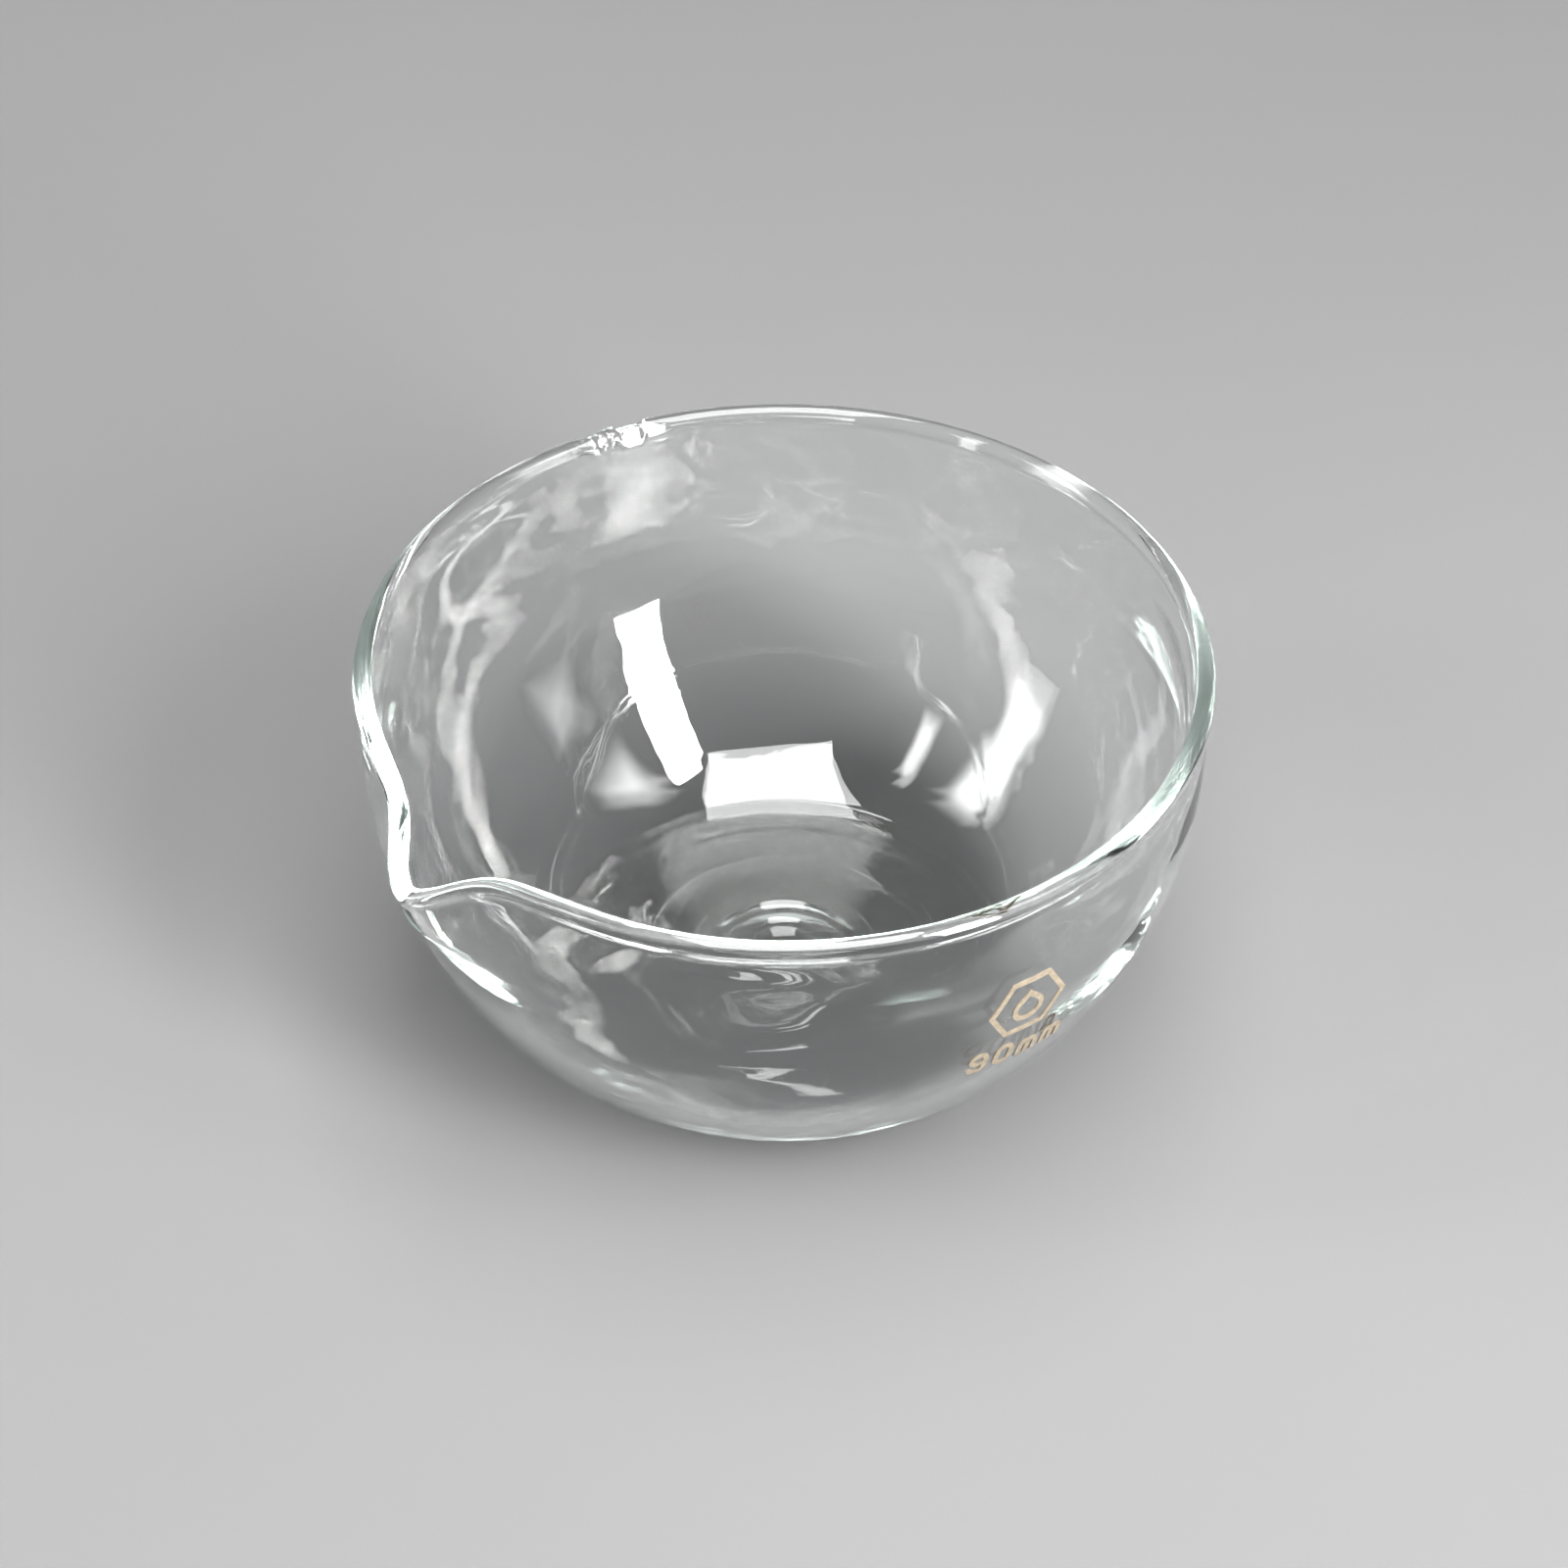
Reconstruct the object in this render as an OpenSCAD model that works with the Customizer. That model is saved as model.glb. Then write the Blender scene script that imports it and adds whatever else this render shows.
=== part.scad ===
/* [Dish] */
// Outside diameter over the rim bead
rim_d = 90; // [84:1:96]
// Height from the flat base to the top of the rim bead
height = 45; // [44:1:50]
// Diameter of the flat that the dish stands on
base_flat_d = 43.6; // [38:0.1:48]
// Outside radius of the corner between the flat base and the bowl
corner_r = 12.7; // [10:0.1:14]
// Wall thickness
wall = 1.6; // [1.2:0.1:1.6]
// Thickness of the flat base
base_t = 2.2; // [1.8:0.1:3]
// Diameter of the fire-polished bead at the rim
bead_d = 2.1; // [2:0.1:2.4]

/* [Spout] */
// How far the spout's tip reaches out from the rim circle
spout_reach = 5; // [3:0.1:7]
// How far the spout's tip droops below the rim
spout_drop = 4; // [1:0.1:5]
// Half width of the spout along the rim, in degrees
spout_half_deg = 7.2; // [6:0.1:9]
// Depth below the rim at which the spout's groove has faded out
spout_depth = 19; // [14:0.5:22]

/* [Rim nub] */
// Direction of the small fused nub on the rim, in degrees from +X
nub_deg = 74; // [20:0.5:125]
// How far the nub stands out from the bead
nub_rise = 0.3; // [0.1:0.05:0.4]
// Length of the nub along the rim
nub_len = 3.4; // [2.5:0.1:5]

/* [Enamel marks] */
// Direction of the marks, in degrees from +X
mark_deg = -97; // [-125:0.5:-60]
// Height of the middle of the marks above the base
mark_z = 27; // [25:0.5:28]
// Thickness of the fired enamel
enamel_t = 0.1; // [0.06:0.01:0.2]
// Depth to which the enamel has fused into the glass
enamel_sink = 0.06; // [0.05:0.01:0.1]
// Width of the enamel strokes
stroke = 0.62; // [0.5:0.02:0.7]
// Width across the corners of the badge
badge_w = 9.4; // [8:0.1:10]
// Height of the digits
digit_h = 3.8; // [3.4:0.1:4.2]

/* [Hidden] */

glass_color = [0.86, 0.93, 0.91, 0.45];
enamel_color = [0.6, 0.51, 0.38];

// How far a cutting solid runs past the face that it cuts
cut = 1;
shell_fn = 180;
arc_fn = 48;

// Bowl: a spherical wall with a vertical band above its centre and a round corner below.
// The bead stands proud of the wall's outside by bead_proud.
bead_proud = 0.4;
bead_r = bead_d / 2;
bead_ring_r = rim_d / 2 - bead_r;
bead_z = height - bead_r;
wall_r = rim_d / 2 - bead_proud;
base_r = base_flat_d / 2;
bowl_z = corner_r + sqrt(pow(wall_r - corner_r, 2) - pow(base_r, 2));
inner_r = wall_r - wall;
inner_corner_r = corner_r - wall;
floor_r = sqrt(pow(inner_r - inner_corner_r, 2) - pow(bowl_z - base_t - inner_corner_r, 2));

// Spout: the wall is drawn out and down over this span of the rim. A draw_power of 2 would give
// the reach a round tip, and a lower one a sharper tip. The droop is narrower than the reach by
// droop_power.
spout_deg = 180;
spout_low_z = height - spout_depth;
spout_span = 7 * spout_half_deg;
draw_power = 1.8;
droop_power = 1.17;

// Nub: the bead swells over this span of the rim, which is nub_spread times the nub's length
nub_spread = 3;
nub_span = nub_spread * nub_len / rim_d * 360 / PI;
nub_from_spout = 360 + nub_deg - spout_deg;

// A section point this many bead radii from the bead's middle still lies on the bead
on_bead_radii = 1.01;

// Steps of the glass surface
spout_steps = 36;
nub_steps = 8;
plain_step_deg = 6;
corner_steps = 3;
wall_steps = 10;
band_steps = 3;
bead_steps = 9;

// Marks: drawn flat, then wrapped onto the bowl along the line from the bowl's centre
mark_tilt = asin((bowl_z - mark_z) / wall_r);
mark_reach = 4;
badge_y = 3;
badge_line = 1.15 * stroke;
drop_r = 0.2 * badge_w;
drop_y = badge_y - 0.2 * drop_r;
text_y = -6.7;
nine_x = -5.7;
zero_x = -2.7;
first_m_x = 0.2;
second_m_x = 3.3;
digit_w = 2.3;
m_w = 2.6;
m_h = 0.74 * digit_h;

// Points along an arc, from angle a0 to a1, without the first
function arc(x, z, r, a0, a1, steps) =
    [for (i = [1 : steps]) let (a = a0 + (a1 - a0) * i / steps) [x + r * cos(a), z + r * sin(a)]];

// The direction in which the corner arc of a bowl meets its wall arc
function join_deg(flat_r, round_z) = -atan2(bowl_z - round_z, flat_r);

// The dish's half section as [x, z]: up the outside from just below the base, over the bead,
// down the inside to the edge of the floor
function dish_section() = let (
    outer_join = join_deg(base_r, corner_r),
    inner_join = join_deg(floor_r, base_t + inner_corner_r),
    start = -acos((wall_r - bead_ring_r) / bead_r),
    end = 180 + acos((bead_ring_r - inner_r) / bead_r),
    band_top = bead_z + bead_r * sin(start),
    inner_band_top = bead_z + bead_r * sin(end)
) concat(
    [[base_r, -cut], [base_r, 0]],
    arc(base_r, corner_r, corner_r, -90, outer_join, corner_steps),
    arc(0, bowl_z, wall_r, outer_join, 0, wall_steps),
    [for (i = [1 : band_steps - 1]) [wall_r, bowl_z + (band_top - bowl_z) * i / band_steps]],
    [[wall_r, band_top]],
    arc(bead_ring_r, bead_z, bead_r, start, end, bead_steps),
    [for (i = [1 : band_steps]) [inner_r, inner_band_top + (bowl_z - inner_band_top) * i / band_steps]],
    arc(0, bowl_z, inner_r, 0, inner_join, wall_steps),
    arc(floor_r, base_t + inner_corner_r, inner_corner_r, inner_join, -90, corner_steps)
);

// Radius of the wall's surface at height z, where r is its radius in the band
function wall_x(r, z) = z < bowl_z ? sqrt(r * r - pow(bowl_z - z, 2)) : r;

// How far the wall is drawn out at angle a from the spout: 1 in its middle, 0 beside it
function bulge(a) = exp(-pow(abs(a) / spout_half_deg, draw_power));

// How fast bulge(a) changes, per radian
function bulge_slope(a) = let (steepness = draw_power * pow(abs(a) / spout_half_deg, draw_power - 1))
    -sign(a) * steepness / spout_half_deg * bulge(a) * 180 / PI;

// How much of the draw is left at height z: 1 at the bead, 0 where the groove ends
function fade(z) = let (t = min(1, max(0, (z - spout_low_z) / (bead_z - spout_low_z)))) t * t * (3 - 2 * t);

// A section point at angle a from the spout, where a point of the bead moves out with the nub
function swollen(p, a) = let (
    away = p - [bead_ring_r, bead_z],
    rise = nub_rise * exp(-pow(nub_spread * (a - nub_from_spout) / nub_span, 2)),
    on_bead = norm(away) < on_bead_radii * bead_r
) on_bead ? p + away * rise / bead_r - [0, rise] : p;

// A section point drawn out and down at angle a from the spout. The wall keeps its thickness
// on the flanks, because the section is widened by the flank's slope.
function drawn(p, a) = let (
    f = fade(p[1]),
    mid = f > 0 ? (wall_x(wall_r, p[1]) + wall_x(inner_r, p[1])) / 2 : p[0],
    drawn_mid = mid + spout_reach * f * bulge(a),
    slope = spout_reach * f * bulge_slope(a) / drawn_mid,
    x = drawn_mid + (p[0] - mid) * sqrt(1 + slope * slope),
    z = p[1] - spout_drop * f * pow(bulge(a), droop_power)
) [x * cos(spout_deg + a), x * sin(spout_deg + a), z];

// Equal steps from a0 up to, but without, a1
function steps(a0, a1, count) = [for (i = [0 : count - 1]) a0 + (a1 - a0) * i / count];

// Angles from the spout: fine steps across it and across the nub, and coarser ones round the rest
function ring_angles() = let (
    spout_end = spout_span / 2,
    nub_start = nub_from_spout - nub_span / 2,
    nub_end = nub_from_spout + nub_span / 2,
    last = 360 - spout_end
) concat(
    steps(-spout_end, spout_end, spout_steps),
    steps(spout_end, nub_start, round((nub_start - spout_end) / plain_step_deg)),
    steps(nub_start, nub_end, nub_steps),
    steps(nub_end, last, round((last - nub_end) / plain_step_deg))
);

module turned_glass() {
    section = dish_section();
    angles = ring_angles();
    n = len(section);
    m = len(angles);
    points = [for (a = angles, p = section) drawn(swollen(p, a), a)];
    sides = [for (k = [0 : m - 1], i = [0 : n - 2])
        let (a = k * n + i, b = ((k + 1) % m) * n + i)
            each [[a, a + 1, b + 1], [a, b + 1, b]]];
    base_face = [for (k = [0 : m - 1]) k * n];
    floor_face = [for (k = [m - 1 : -1 : 0]) k * n + n - 1];
    polyhedron(points = points, faces = concat(sides, [base_face, floor_face]), convexity = 8);
}

module glass_dish() {
    color(glass_color)
        difference() {
            turned_glass();
            translate([0, 0, -2 * cut])
                cylinder(r = base_r + cut, h = 2 * cut, $fn = arc_fn);
        }
}

// Wraps a flat mark onto the outside of the bowl as a thin layer
module enamel() {
    color(enamel_color)
        intersection() {
            translate([0, 0, bowl_z])
                rotate([0, 0, mark_deg])
                    rotate([0, 90 + mark_tilt, 0])
                        rotate([0, 0, 90])
                            translate([0, 0, wall_r - mark_reach])
                                linear_extrude(height = mark_reach + cut)
                                    children();
            difference() {
                translate([0, 0, bowl_z])
                    sphere(r = wall_r + enamel_t, $fn = shell_fn);
                translate([0, 0, bowl_z])
                    sphere(r = wall_r - enamel_sink, $fn = shell_fn);
            }
        }
}

module hexagon(across) {
    circle(d = across, $fn = 6);
}

module badge_ring_flat() {
    translate([0, badge_y])
        difference() {
            hexagon(badge_w);
            hexagon(badge_w - 2 * badge_line);
        }
}

// A drop: a round belly under a right-angled point
module drop_flat(belly_r) {
    circle(r = belly_r, $fn = arc_fn);
    rotate([0, 0, 45])
        square(belly_r);
}

module badge_drop_flat() {
    translate([0, drop_y])
        difference() {
            drop_flat(drop_r);
            drop_flat(drop_r - stroke);
        }
}

// A ring with straight sides, of the given outside size
module oval_ring(w, h) {
    difference() {
        stadium(w, h);
        translate([stroke, stroke])
            stadium(w - 2 * stroke, h - 2 * stroke);
    }
}

module stadium(w, h) {
    translate([w / 2, w / 2])
        circle(d = w, $fn = arc_fn);
    translate([w / 2, h - w / 2])
        circle(d = w, $fn = arc_fn);
    translate([0, w / 2])
        square([w, h - w]);
}

module nine_flat() {
    translate([nine_x, text_y]) {
        translate([digit_w / 2, digit_h - digit_w / 2])
            difference() {
                circle(d = digit_w, $fn = arc_fn);
                circle(d = digit_w - 2 * stroke, $fn = arc_fn);
            }
        translate([digit_w - stroke, digit_w / 2])
            square([stroke, digit_h - digit_w]);
        intersection() {
            oval_ring(digit_w, digit_h);
            square([digit_w, digit_w / 2]);
        }
    }
}

module zero_flat() {
    translate([zero_x, text_y])
        oval_ring(digit_w, digit_h);
}

// A lower-case m: three legs under two round arches
module m_flat(x) {
    arch_d = (m_w + stroke) / 2;
    translate([x, text_y])
        for (side = [0, m_w - arch_d])
            translate([side, 0])
                difference() {
                    union() {
                        square([arch_d, m_h - arch_d / 2]);
                        translate([arch_d / 2, m_h - arch_d / 2])
                            circle(d = arch_d, $fn = arc_fn);
                    }
                    translate([stroke, -cut])
                        square([arch_d - 2 * stroke, m_h - arch_d / 2 + cut]);
                    translate([arch_d / 2, m_h - arch_d / 2])
                        circle(d = arch_d - 2 * stroke, $fn = arc_fn);
                }
}

module enamel_badge_ring() { enamel() badge_ring_flat(); }
module enamel_badge_drop() { enamel() badge_drop_flat(); }
module enamel_digit_nine() { enamel() nine_flat(); }
module enamel_digit_zero() { enamel() zero_flat(); }
module enamel_unit_m_first() { enamel() m_flat(first_m_x); }
module enamel_unit_m_second() { enamel() m_flat(second_m_x); }

glass_dish();
enamel_badge_ring();
enamel_badge_drop();
enamel_digit_nine();
enamel_digit_zero();
enamel_unit_m_first();
enamel_unit_m_second();
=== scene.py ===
import math

import bpy
import numpy as np
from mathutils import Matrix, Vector


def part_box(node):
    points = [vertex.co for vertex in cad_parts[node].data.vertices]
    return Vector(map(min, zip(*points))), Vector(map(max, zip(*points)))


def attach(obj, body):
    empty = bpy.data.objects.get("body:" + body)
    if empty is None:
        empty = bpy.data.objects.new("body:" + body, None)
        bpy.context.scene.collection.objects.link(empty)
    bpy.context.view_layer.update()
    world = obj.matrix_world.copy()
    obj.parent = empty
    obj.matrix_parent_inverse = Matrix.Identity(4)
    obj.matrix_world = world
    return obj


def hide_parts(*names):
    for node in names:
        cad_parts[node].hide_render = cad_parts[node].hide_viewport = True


MM = 0.001
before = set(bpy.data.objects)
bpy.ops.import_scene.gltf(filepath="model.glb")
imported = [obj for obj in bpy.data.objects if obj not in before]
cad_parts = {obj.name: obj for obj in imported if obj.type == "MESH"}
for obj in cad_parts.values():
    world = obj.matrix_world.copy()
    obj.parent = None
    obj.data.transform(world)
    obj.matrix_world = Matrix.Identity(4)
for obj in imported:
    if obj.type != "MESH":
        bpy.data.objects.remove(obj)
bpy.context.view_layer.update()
glass_low, glass_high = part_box("glass_dish")

# ---------------------------------------------------------------------------
# The dish's driving sizes, in millimetres. The rim and the height come from the frame, and the
# rest repeat the part's own dimensions.
RIM_R = min(glass_high.x, glass_high.y, -glass_low.y) / MM
HEIGHT = glass_high.z / MM
BASE_R = 21.8
CORNER_R = 12.7
WALL = 1.6
BASE_T = 2.2
BEAD_R = 1.05
BEAD_PROUD = 0.4        # how far the bead stands out of the wall
WALL_R = RIM_R - BEAD_PROUD
BEAD_RING_R = RIM_R - BEAD_R
BEAD_Z = HEIGHT - BEAD_R
BOWL_Z = CORNER_R + math.sqrt((WALL_R - CORNER_R) ** 2 - BASE_R ** 2)
INNER_R = WALL_R - WALL
INNER_CORNER_R = CORNER_R - WALL
FLOOR_R = math.sqrt(
    (INNER_R - INNER_CORNER_R) ** 2 - (BOWL_Z - BASE_T - INNER_CORNER_R) ** 2
)

# Mesh: spacing of the outline's points, and of the sections in degrees
COARSE_STEP = 1.0
CORNER_STEP = 0.7
INNER_CORNER_STEP = 0.6
BASE_STEP = 0.5
FLOOR_STEP = 0.4
BEAD_STEP = 0.19
SECTION_STEP_DEG = 1.1
SPOUT_STEP_DEG = 0.5
SPOUT_FINE_DEG = 24
NUB_STEP_DEG = 0.4
NUB_FINE_DEG = 6
FINE_GAP_DEG = 0.4

# Spout, at 180 degrees from +X
SPOUT_DEG = 180.0
SPOUT_REACH = 5.0
SPOUT_DROP = 4.0
SPOUT_HALF_DEG = 7.2
SPOUT_LOW_Z = 26.0
DRAW_POWER = 1.8
DROOP_POWER = 1.17
PINCH = 0.25            # the rim draws in a little on both sides of the spout
PINCH_AT_DEG = 22.0
PINCH_WIDTH_DEG = 9.0
PIMPLE = 0.5            # height of the cold pimple beside the spout's fold
PIMPLE_AT_DEG = 6.2
PIMPLE_WIDTH_DEG = 1.0
PIMPLE_Z = 40.6
PIMPLE_HALF = 0.8

# Nub on the rim, where its bead was closed in the flame. Each lump has a flat face: (from the
# middle in degrees, half width in degrees, which way the face looks round the bead in degrees,
# half of the face's spread in degrees, how far the face stands out of the bead in mm)
NUB_DEG = 74.0
NUB_LUMPS = [(-0.9, 2.4, 142, 46, 0.22), (1.9, 0.6, 92, 30, 0.2), (4.8, 1.1, 142, 38, 0.12)]
NUB_FACE_EDGE_DEG = 24
NUB_FLAT_SHARE = 0.6    # share of a lump's half width that is at its full height
RIM_STEP = 0.12         # the rim's two ends meet here with a small step
RIM_STEP_RISE_DEG = 5
RIM_STEP_FADE_DEG = 40

# Marks: the middle of the enamel, where the wall stays true
MARK_DEG = -97.0
MARK_Z = 27.0
MARK_HALF_DEG = 10
MARK_EDGE_DEG = 10
MARK_HALF_Z = 8
MARK_EDGE_Z = 6
MARK_STANDS = 0.01      # under the enamel the glass stands this far out of its true shape

# Slow unevenness of the drawn glass: (waves round the dish, size, twist per mm of height, phase)
OUTER_WAVES = [(2, 0.05, 0.02, 0.4), (3, 0.05, -0.05, 1.9), (5, 0.04, 0.09, 3.1),
               (7, 0.03, -0.16, 0.8), (11, 0.008, 0.24, 2.2)]
INNER_WAVES = [(3, 0.08, -0.06, 2.7), (5, 0.2, 0.2, 0.3), (7, 0.2, -0.28, 4.0),
               (8, 0.13, 0.33, 1.2), (11, 0.06, -0.4, 5.1), (15, 0.015, 0.5, 2.9)]
OUTER_WAVES_LOW = 0.12  # share of the waves that is left at the foot of the wall
INNER_WAVES_LOW = 0.06
WAVES_FROM_Z = 17
WAVES_RISE = 20
BELOW_BEAD = 1.5        # the unevenness ends this far under the bead's middle
BELOW_BEAD_FADE = 4
ABOVE_BASE = 3.5        # and starts this far above the base
ABOVE_BASE_FADE = 6

# Swells in the inside of the two side walls: (direction, half width in degrees, size, pitch in
# height, phase)
SWELLS = [(105, 24, 0.26, 25, 6.0), (-12, 24, 0.2, 21, 0.8)]
SWELLS_FROM_Z = 5
SWELLS_RISE = 10

# Draw rings round the upper wall, which swing a little up and down
RING_PITCH = 2.9
RING_Z = 31
RING_HALF = 4
RING_EDGE = 5
RING_SWING = [(2, 0.8, 0, 0.5), (5, 0.5, 0, 0)]
OUTER_RING = 0.008
INNER_RING = 0.018

# Relief of the base: steps of (radius at which the step starts, its width, its rise inwards), and
# ripples of (size, pitch, phase radius, middle radius, half width, edge)
UNDERSIDE_STEPS = [(21.5, 0.5, 0.1), (16.2, 2.2, 0.16), (11.8, 4, 0.2), (5.2, 2.0, -0.25)]
FLOOR_STEPS = [(15.4, 0.8, -0.05), (10.2, 6, -0.6), (4.8, 2.4, 0.16)]
FLOOR_RIPPLES = [(0.025, 1.9, 0, 14.5, 2, 1.5), (0.085, 2.4, 0.4, 6.9, 2.6, 1.0)]
FLOOR_TILT = 0.05       # height of a slight saddle in the floor
FLOOR_TILT_DEG = 40
LEVEL = 0.01            # points this close to the base's or the floor's height lie on it

# Camera, as seen from the dish: azimuth of the camera from +X, elevation, distance
VIEW_DEG = -130.36
VIEW_ELEVATION_DEG = 41.35
VIEW_DISTANCE = 400.0
VIEW_TARGET_Z = 26.65
LENS_MM = 85.45
SENSOR_MM = 36.0

# Studio, with lengths in metres
FLOOR_HALF = 3.0
FLOOR_GAP = 0.00002     # the floor lies this far under the dish
PANEL_DISTANCE = 0.95
PANEL_STEPS = 16
GLINT_SCALE = 0.998     # a glint hangs just in front of its panel
SURROUND = (0.3, 0.3, 0.305, 1)
LIGHT_BOUNCES = 64


# ---------------------------------------------------------------------------
# Glass geometry
def arc(x, z, r, start, end, step):
    """Points every step or so along an arc, its start left out. Angles are in degrees."""
    count = max(2, int(round(abs(math.radians(end - start)) * r / step)))
    angles = np.radians(np.linspace(start, end, count + 1)[1:])
    return np.stack([x + r * np.cos(angles), z + r * np.sin(angles)], -1)


def line(x0, z0, x1, z1, step):
    """Points every step or so along a straight stretch, its start left out."""
    count = max(1, int(round(math.hypot(x1 - x0, z1 - z0) / step)))
    t = np.linspace(0, 1, count + 1)[1:, None]
    return np.array([[x0, z0]]) * (1 - t) + np.array([[x1, z1]]) * t


def dish_outline():
    """The dish's half section, from the middle of the base, up the outside, over the bead,
    down the inside and in to the middle of the floor."""
    outer_join = -math.degrees(math.atan2(BOWL_Z - CORNER_R, BASE_R))
    inner_join = -math.degrees(math.atan2(BOWL_Z - BASE_T - INNER_CORNER_R, FLOOR_R))
    start = -math.degrees(math.acos((WALL_R - BEAD_RING_R) / BEAD_R))
    end = 180 + math.degrees(math.acos((BEAD_RING_R - INNER_R) / BEAD_R))
    band_top = BEAD_Z + BEAD_R * math.sin(math.radians(start))
    inner_top = BEAD_Z + BEAD_R * math.sin(math.radians(end))
    return np.concatenate([
        line(0, 0, BASE_R, 0, BASE_STEP),
        arc(BASE_R, CORNER_R, CORNER_R, -90, outer_join, CORNER_STEP),
        arc(0, BOWL_Z, WALL_R, outer_join, 0, COARSE_STEP),
        line(WALL_R, BOWL_Z, WALL_R, band_top, COARSE_STEP),
        arc(BEAD_RING_R, BEAD_Z, BEAD_R, start, end, BEAD_STEP),
        line(INNER_R, inner_top, INNER_R, BOWL_Z, COARSE_STEP),
        arc(0, BOWL_Z, INNER_R, 0, inner_join, COARSE_STEP),
        arc(FLOOR_R, BASE_T + INNER_CORNER_R, INNER_CORNER_R, inner_join, -90, INNER_CORNER_STEP),
        line(FLOOR_R, BASE_T, 0, BASE_T, FLOOR_STEP)[:-1],
    ])


def outline_normals(outline):
    """The outward normal of the glass at each point of the outline."""
    along = np.gradient(outline, axis=0)
    normals = np.stack([along[:, 1], -along[:, 0]], -1)
    return normals / np.linalg.norm(normals, axis=1)[:, None]


def smooth(t):
    """0 below 0, 1 above 1, and a smooth rise between them."""
    t = np.clip(t, 0, 1)
    return t * t * (3 - 2 * t)


def bell(x):
    """1 at 0, falling away smoothly to both sides."""
    return np.exp(-x * x)


def plateau(distance, half, edge):
    """1 within half of the middle, falling to 0 over the next edge."""
    return 1 - smooth((abs(distance) - half) / edge)


def off(angle, centre):
    """Signed difference of two directions in degrees, from -180 to 180."""
    return (angle - centre + 180) % 360 - 180


def is_outside(outline):
    """Which of the outline's points come before the top of the bead."""
    return np.arange(len(outline)) < int(np.argmax(outline[:, 1]))


def waves(angle, z, modes):
    """Sum of waves round the dish, each given as OUTER_WAVES says."""
    total = 0
    for count, size, twist, phase in modes:
        total = total + size * np.sin(np.radians(count * angle) + twist * z + phase)
    return total


def unevenness(angle, outline):
    """How far the surface stands off its true shape, in millimetres, along its normal."""
    z = outline[:, 1]
    height = smooth((z - WAVES_FROM_Z) / WAVES_RISE)
    outer_share = OUTER_WAVES_LOW + (1 - OUTER_WAVES_LOW) * height
    inner_share = INNER_WAVES_LOW + (1 - INNER_WAVES_LOW) * height
    rings = np.sin(2 * math.pi * z / RING_PITCH + waves(angle, 0, RING_SWING))
    rings = rings * plateau(z - RING_Z, RING_HALF, RING_EDGE)
    outside = outer_share * waves(angle, z, OUTER_WAVES) + OUTER_RING * rings
    inside = inner_share * waves(angle, z, INNER_WAVES) + INNER_RING * rings

    at_marks = plateau(off(angle, MARK_DEG), MARK_HALF_DEG, MARK_EDGE_DEG)
    at_marks = at_marks * plateau(z - MARK_Z, MARK_HALF_Z, MARK_EDGE_Z)
    outside = outside * (1 - at_marks) + MARK_STANDS * at_marks
    for middle, half, size, pitch, phase in SWELLS:
        rise = smooth((z - SWELLS_FROM_Z) / SWELLS_RISE)
        swell = size * np.sin(2 * math.pi * z / pitch + phase) * rise
        inside = inside + swell * bell(off(angle, middle) / half)

    below_bead = smooth((BEAD_Z - BELOW_BEAD - z) / BELOW_BEAD_FADE)
    above_base = smooth((z - ABOVE_BASE) / ABOVE_BASE_FADE)
    return np.where(is_outside(outline), outside, inside) * below_bead * above_base


def stepped(r, steps):
    """Height of smooth steps that start at their radii and rise inwards."""
    return sum(rise * smooth((start - r) / width) for start, width, rise in steps)


def base_relief(outline, angle):
    """Height of the hollow under the base and of the tool rings on the floor, in millimetres."""
    r = outline[:, 0]
    z = outline[:, 1]
    under = (z < LEVEL) & (r < BASE_R)
    floor = (np.abs(z - BASE_T) < LEVEL) & (r < FLOOR_R)
    ripple = 0
    for size, pitch, phase_r, middle_r, half, edge in FLOOR_RIPPLES:
        wave = size * np.sin(2 * math.pi * (r - phase_r) / pitch)
        ripple = ripple + wave * plateau(r - middle_r, half, edge)
    tilt = FLOOR_TILT * (r / FLOOR_R) ** 2 * np.sin(np.radians(2 * angle + FLOOR_TILT_DEG))
    underside = np.where(under, stepped(r, UNDERSIDE_STEPS), 0)
    return underside + np.where(floor, stepped(r, FLOOR_STEPS) + ripple + tilt, 0)


def spout_bulge(from_spout):
    """How far the wall is drawn out, from 1 in the spout's middle to 0, and its change per
    radian."""
    t = abs(from_spout) / SPOUT_HALF_DEG
    bulge = math.exp(-t ** DRAW_POWER)
    steepness = DRAW_POWER * t ** (DRAW_POWER - 1) / SPOUT_HALF_DEG
    return bulge, math.degrees(-math.copysign(steepness * bulge, from_spout))


def nub_lift(from_nub, round_bead):
    """How far the nub's lumps stand out of the bead, at each direction round the bead."""
    lift = np.zeros(len(round_bead))
    for middle, half, looks, spread, stands in NUB_LUMPS:
        share = plateau(from_nub - middle, NUB_FLAT_SHARE * half, (1 - NUB_FLAT_SHARE) * half)
        from_face = off(round_bead, looks)
        turned = np.clip(np.abs(from_face), 0, spread)
        face = (BEAD_R + stands) / np.cos(np.radians(turned)) - BEAD_R
        lift = np.maximum(lift, share * face * plateau(from_face, spread, NUB_FACE_EDGE_DEG))
    return lift


def rim_step(from_nub):
    """How far the rim stands in, just past the nub."""
    if from_nub <= 0:
        return 0
    rise = smooth(from_nub / RIM_STEP_RISE_DEG)
    return RIM_STEP * rise * smooth(1 - from_nub / RIM_STEP_FADE_DEG)


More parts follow.
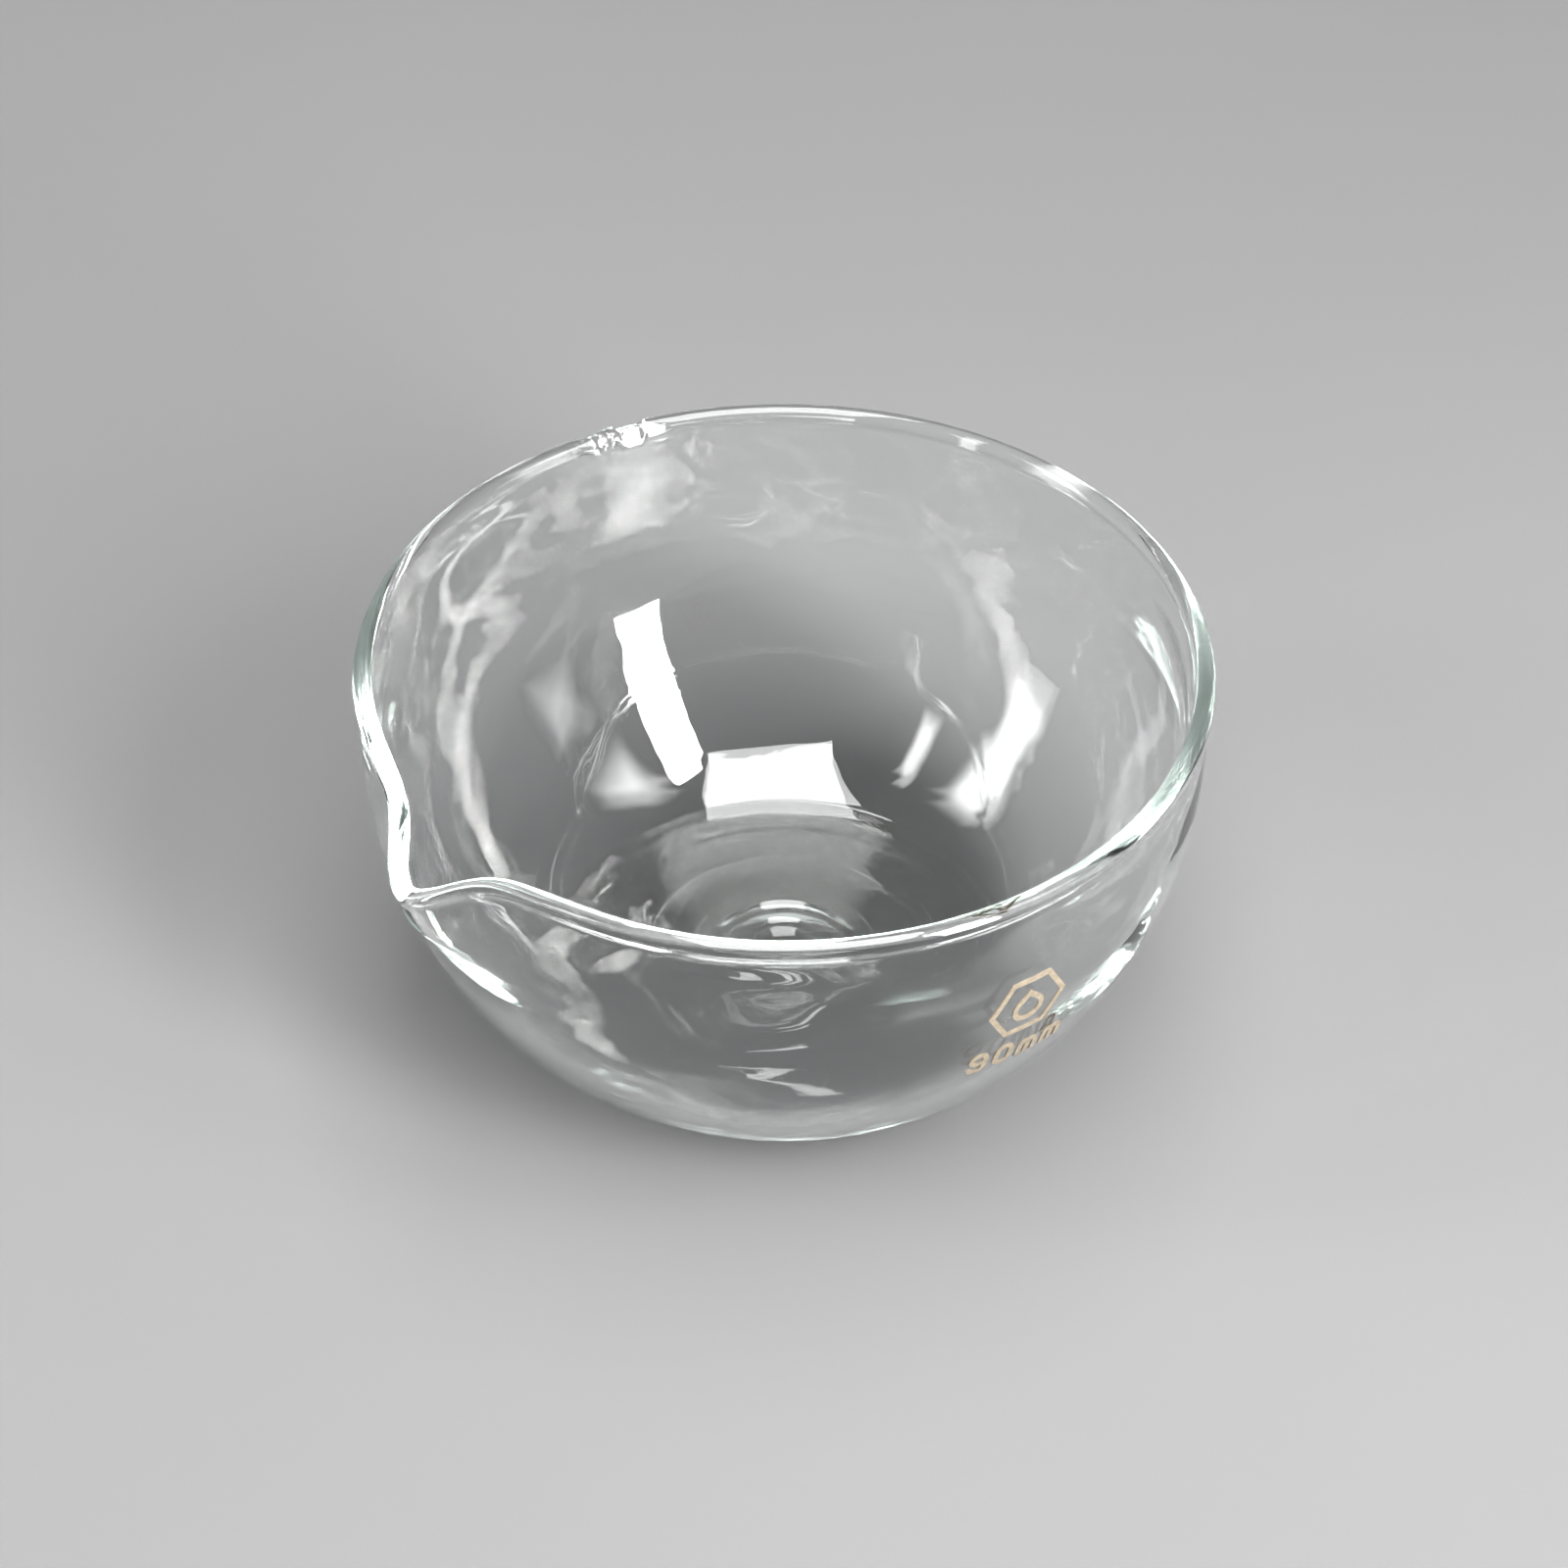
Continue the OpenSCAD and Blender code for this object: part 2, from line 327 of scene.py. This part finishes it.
def add_nub(ring, outline, angle):
    """Move the bead's points of one section for the nub and the step in the rim."""
    away = outline - np.array([BEAD_RING_R, BEAD_Z])
    on_bead = np.hypot(away[:, 0], away[:, 1]) < BEAD_R + LEVEL
    from_nub = off(angle, NUB_DEG)
    lift = nub_lift(from_nub, np.degrees(np.arctan2(away[:, 1], away[:, 0])))
    ring[on_bead] += (away / BEAD_R * lift[:, None])[on_bead]
    ring[on_bead, 1] -= max(0.0, ring[on_bead, 1].max() - HEIGHT)
    ring[on_bead, 0] -= rim_step(from_nub)


def drawn_ring(outline, normals, angle):
    """The section at one direction, as an array of [radius, z]."""
    ring = outline + normals * unevenness(angle, outline)[:, None]
    ring[:, 1] += base_relief(outline, angle)
    add_nub(ring, outline, angle)

    z = outline[:, 1]
    from_spout = off(angle, SPOUT_DEG)
    fade = smooth((z - SPOUT_LOW_Z) / (BEAD_Z - SPOUT_LOW_Z))
    sphere = np.sqrt(np.maximum(1, WALL_R ** 2 - np.clip(BOWL_Z - z, 0, None) ** 2))
    mid = np.where(fade > 0, sphere - WALL / 2, outline[:, 0])
    bulge, change = spout_bulge(from_spout)
    reach = SPOUT_REACH * fade
    slope = reach * change / (mid + reach * bulge + 1e-9)
    pinch = PINCH * bell((abs(from_spout) - PINCH_AT_DEG) / PINCH_WIDTH_DEG) * fade
    radius = mid + reach * bulge - pinch + (ring[:, 0] - mid) * np.sqrt(1 + slope ** 2)
    drop = SPOUT_DROP * fade * bulge ** DROOP_POWER

    pimple = PIMPLE * bell((from_spout - PIMPLE_AT_DEG) / PIMPLE_WIDTH_DEG)
    pimple = pimple * bell((z - PIMPLE_Z) / PIMPLE_HALF)
    radius = radius + np.where(is_outside(outline), pimple, 0)
    return np.stack([radius, ring[:, 1] - drop], -1)


def ring_angles():
    """Directions of the sections: closest together over the spout and the nub."""
    at_spout = SPOUT_DEG + np.arange(-SPOUT_FINE_DEG, SPOUT_FINE_DEG, SPOUT_STEP_DEG)
    at_nub = NUB_DEG + np.arange(-NUB_FINE_DEG, NUB_FINE_DEG, NUB_STEP_DEG)
    elsewhere = [
        a for a in np.arange(0, 360, SECTION_STEP_DEG)
        if abs(off(a, SPOUT_DEG)) > SPOUT_FINE_DEG + FINE_GAP_DEG
        and abs(off(a, NUB_DEG)) > NUB_FINE_DEG + FINE_GAP_DEG
    ]
    return np.sort(np.concatenate([at_spout % 360, at_nub % 360, np.array(elsewhere)]))


def add_object(name, points, faces):
    """Make a mesh object of these points and faces, in the scene."""
    mesh = bpy.data.meshes.new(name)
    mesh.from_pydata(points, [], faces)
    mesh.update()
    made = bpy.data.objects.new(name, mesh)
    bpy.context.scene.collection.objects.link(made)
    return made


def build_glass():
    """One closed mesh of the whole dish."""
    outline = dish_outline()
    normals = outline_normals(outline)
    angles = ring_angles()
    rings = np.array([drawn_ring(outline, normals, a) for a in angles])
    count, size = rings.shape[:2]
    turn = np.radians(angles)[:, None]
    x = rings[..., 0] * np.cos(turn)
    y = rings[..., 0] * np.sin(turn)
    points = np.stack([x, y, rings[..., 1]], -1).reshape(-1, 3)
    base_middle = [0, 0, float(rings[:, 0, 1].mean())]
    floor_middle = [0, 0, float(rings[:, -1, 1].mean())]
    points = np.concatenate([points, [base_middle, floor_middle]]) * MM

    faces = []
    for k in range(count):
        a = k * size
        b = (k + 1) % count * size
        faces += [(a + i, b + i, b + i + 1, a + i + 1) for i in range(size - 1)]
        faces.append((count * size, b, a))
        faces.append((count * size + 1, a + size - 1, b + size - 1))
    piece = add_object("glass_body", points.tolist(), faces)
    piece.data.shade_smooth()
    return piece


# ---------------------------------------------------------------------------
# Materials
class Nodes:
    """A small helper for building one material's node tree."""

    def __init__(self, name):
        self.material = bpy.data.materials.new(name)
        self.material.use_nodes = True
        self.tree = self.material.node_tree
        self.tree.nodes.clear()
        self.output = self.add("ShaderNodeOutputMaterial")

    def add(self, kind):
        return self.tree.nodes.new(kind)

    def link(self, source, target):
        self.tree.links.new(source, target)

    def place(self):
        return self.add("ShaderNodeTexCoord").outputs["Object"]

    def surface(self, shader_output):
        self.link(shader_output, self.output.inputs["Surface"])


def noise(nodes, position, scale, detail=2.0, rough=0.5):
    node = nodes.add("ShaderNodeTexNoise")
    node.inputs["Scale"].default_value = scale
    node.inputs["Detail"].default_value = detail
    node.inputs["Roughness"].default_value = rough
    nodes.link(position, node.inputs["Vector"])
    return node.outputs["Fac"]


def ramp(nodes, source, stops):
    """A colour ramp whose stops are (place, colour or grey)."""
    node = nodes.add("ShaderNodeValToRGB")
    elements = node.color_ramp.elements
    for i, (place, colour) in enumerate(stops):
        element = elements[i] if i < 2 else elements.new(place)
        element.position = place
        rgb = (colour,) * 3 if isinstance(colour, (int, float)) else colour
        element.color = (*rgb, 1)
    nodes.link(source, node.inputs["Fac"])
    return node.outputs["Color"]


def bump(nodes, height, strength, distance):
    node = nodes.add("ShaderNodeBump")
    node.inputs["Strength"].default_value = strength
    node.inputs["Distance"].default_value = distance
    nodes.link(height, node.inputs["Height"])
    return node.outputs["Normal"]


def glass_material():
    """Clear borosilicate glass: faint smears, a faintly orange-peeled skin and a green body tint."""
    nodes = Nodes("borosilicate")
    shader = nodes.add("ShaderNodeBsdfPrincipled")
    shader.inputs["Base Color"].default_value = (0.985, 0.995, 0.99, 1)
    shader.inputs["Transmission Weight"].default_value = 1
    shader.inputs["IOR"].default_value = 1.473
    place = nodes.place()
    smears = ramp(nodes, noise(nodes, place, 55, 3), [(0.45, 0.0), (0.85, 0.045)])
    nodes.link(smears, shader.inputs["Roughness"])
    skin = noise(nodes, place, 160, 2)
    nodes.link(bump(nodes, skin, 0.05, 0.0004), shader.inputs["Normal"])
    nodes.surface(shader.outputs["BSDF"])
    tint = nodes.add("ShaderNodeVolumeAbsorption")
    tint.inputs["Color"].default_value = (0.9, 0.97, 0.94, 1)
    tint.inputs["Density"].default_value = 14
    nodes.link(tint.outputs["Volume"], nodes.output.inputs["Volume"])
    return nodes.material


def enamel_material():
    """Matt fired enamel: mottled tan, rougher where it is darker, with a grainy surface."""
    nodes = Nodes("fired_enamel_tan")
    shader = nodes.add("ShaderNodeBsdfPrincipled")
    place = nodes.place()
    mottle = noise(nodes, place, 1400, 4, 0.6)
    colour = ramp(nodes, mottle, [(0.3, (0.15, 0.118, 0.08)), (0.7, (0.27, 0.222, 0.158))])
    nodes.link(colour, shader.inputs["Base Color"])
    nodes.link(ramp(nodes, mottle, [(0.3, 0.7), (0.7, 0.45)]), shader.inputs["Roughness"])
    grain = noise(nodes, place, 4000, 3)
    nodes.link(bump(nodes, grain, 0.5, 0.00005), shader.inputs["Normal"])
    nodes.surface(shader.outputs["BSDF"])
    return nodes.material


def floor_material():
    """Plain matt floor with the slightest cloudiness."""
    nodes = Nodes("pale_floor")
    shader = nodes.add("ShaderNodeBsdfPrincipled")
    clouds = noise(nodes, nodes.place(), 3, 4)
    colour = ramp(nodes, clouds, [(0.3, 0.165), (0.7, 0.18)])
    nodes.link(colour, shader.inputs["Base Color"])
    shader.inputs["Roughness"].default_value = 0.85
    shader.inputs["Specular IOR Level"].default_value = 0
    nodes.surface(shader.outputs["BSDF"])
    return nodes.material


# ---------------------------------------------------------------------------
# Studio
def direction(azimuth, elevation):
    a = math.radians(azimuth)
    e = math.radians(elevation)
    return Vector((math.cos(a) * math.cos(e), math.sin(a) * math.cos(e), math.sin(e)))


def maths(nodes, operation, first, second):
    """A maths node's output; second is a number or an output."""
    node = nodes.add("ShaderNodeMath")
    node.operation = operation
    nodes.link(first, node.inputs[0])
    if isinstance(second, (int, float)):
        node.inputs[1].default_value = second
    else:
        nodes.link(second, node.inputs[1])
    return node.outputs["Value"]


def glow_material(radiance, glint=False):
    """Light that follows the mesh's glow. A glint shows only until the first matt surface."""
    nodes = Nodes("softbox")
    glow = nodes.add("ShaderNodeAttribute")
    glow.attribute_name = "glow"
    level = maths(nodes, "MULTIPLY", glow.outputs["Fac"], radiance)
    if glint:
        matt_surfaces = nodes.add("ShaderNodeLightPath").outputs["Diffuse Depth"]
        level = maths(nodes, "MULTIPLY", level, maths(nodes, "LESS_THAN", matt_surfaces, 0.5))
    emission = nodes.add("ShaderNodeEmission")
    nodes.link(level, emission.inputs["Strength"])
    nodes.surface(emission.outputs["Emission"])
    return nodes.material


def softbox(name, corners, radiance, soft=0.0, shine=0.0):
    """A glowing panel. Each corner is (azimuth, elevation) as seen from the dish, with the azimuth
    counted from the camera's to the right. Its edges fade out over soft, as a share of its width.
    Where there is shine, a glint in front of the panel shows that much light to the glass alone,
    as in an exposure made for the glass."""
    middle = Vector((0, 0, VIEW_TARGET_Z * MM))
    a, b, c, d = (middle + direction(VIEW_DEG + az, el) * PANEL_DISTANCE for az, el in corners)
    steps = PANEL_STEPS
    points = []
    glow = []
    for i in range(steps + 1):
        for j in range(steps + 1):
            u = i / steps
            v = j / steps
            points.append(a.lerp(b, u).lerp(d.lerp(c, u), v))
            edge = min(u, 1 - u, v, 1 - v)
            glow.append(float(smooth(edge / soft)) if soft else 1.0)
    faces = [(k, k + 1, k + steps + 2, k + steps + 1)
             for k in range(len(points) - steps - 2) if (k + 1) % (steps + 1)]
    panel = add_object(name, points, faces)
    panel.data.attributes.new("glow", "FLOAT", "POINT").data.foreach_set("value", glow)
    panel.data.materials.append(glow_material(radiance))
    panel.visible_camera = False
    if shine:
        glint = panel.copy()
        glint.name = name + "_glint"
        glint.data = panel.data.copy()
        glint.data.materials[0] = glow_material(shine, glint=True)
        bpy.context.scene.collection.objects.link(glint)
        glint.scale = (GLINT_SCALE, GLINT_SCALE, GLINT_SCALE)
        glint.visible_diffuse = False
        glint.visible_shadow = False


def build_stage():
    half = FLOOR_HALF
    corners = [(-half, -half, 0), (half, -half, 0), (half, half, 0), (-half, half, 0)]
    floor = add_object("floor", corners, [(0, 1, 2, 3)])
    floor.location.z = -FLOOR_GAP
    floor.data.materials.append(floor_material())

    softbox("strip_right", [(49, -4), (36, -2), (36, 46), (55, 54)], 40, shine=55)
    softbox("overhead", [(34, 46.5), (-21, 46), (-164, 65), (172, 60)], 9, shine=13)
    softbox("fill_right", [(84, 28), (60, 24), (55, 62), (84, 66)], 12, soft=0.45)
    softbox("glow_right", [(84, -2), (64, -2), (64, 24), (84, 24)], 6, soft=0.5)
    softbox("window_left", [(-71, -9), (-86, -9), (-98, 50), (-72, 54)], 15, soft=0.4)
    softbox("pane_left", [(-49, 24), (-57, 24), (-62, 54), (-54, 54)], 12, soft=0.3)

    world = bpy.data.worlds.new("studio")
    world.use_nodes = True
    world.node_tree.nodes["Background"].inputs["Color"].default_value = SURROUND
    bpy.context.scene.world = world


def build_camera():
    data = bpy.data.cameras.new("camera")
    data.sensor_width = SENSOR_MM
    data.lens = LENS_MM
    camera = bpy.data.objects.new("camera", data)
    bpy.context.scene.collection.objects.link(camera)
    target = Vector((0, 0, VIEW_TARGET_Z * MM))
    camera.location = target + direction(VIEW_DEG, VIEW_ELEVATION_DEG) * VIEW_DISTANCE * MM
    camera.rotation_euler = (target - camera.location).to_track_quat("-Z", "Y").to_euler()
    bpy.context.scene.camera = camera


# ---------------------------------------------------------------------------
build_camera()
build_stage()

glass = build_glass()
glass.data.materials.append(glass_material())
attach(glass, "root")
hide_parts("glass_dish")

enamel = enamel_material()
for name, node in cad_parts.items():
    if name != "glass_dish":
        node.data.materials.clear()
        node.data.materials.append(enamel)

scene = bpy.context.scene
scene.cycles.use_denoising = True
scene.cycles.sample_clamp_indirect = 0
scene.cycles.max_bounces = LIGHT_BOUNCES
scene.cycles.transmission_bounces = LIGHT_BOUNCES
scene.cycles.glossy_bounces = LIGHT_BOUNCES
scene.view_settings.view_transform = "Standard"
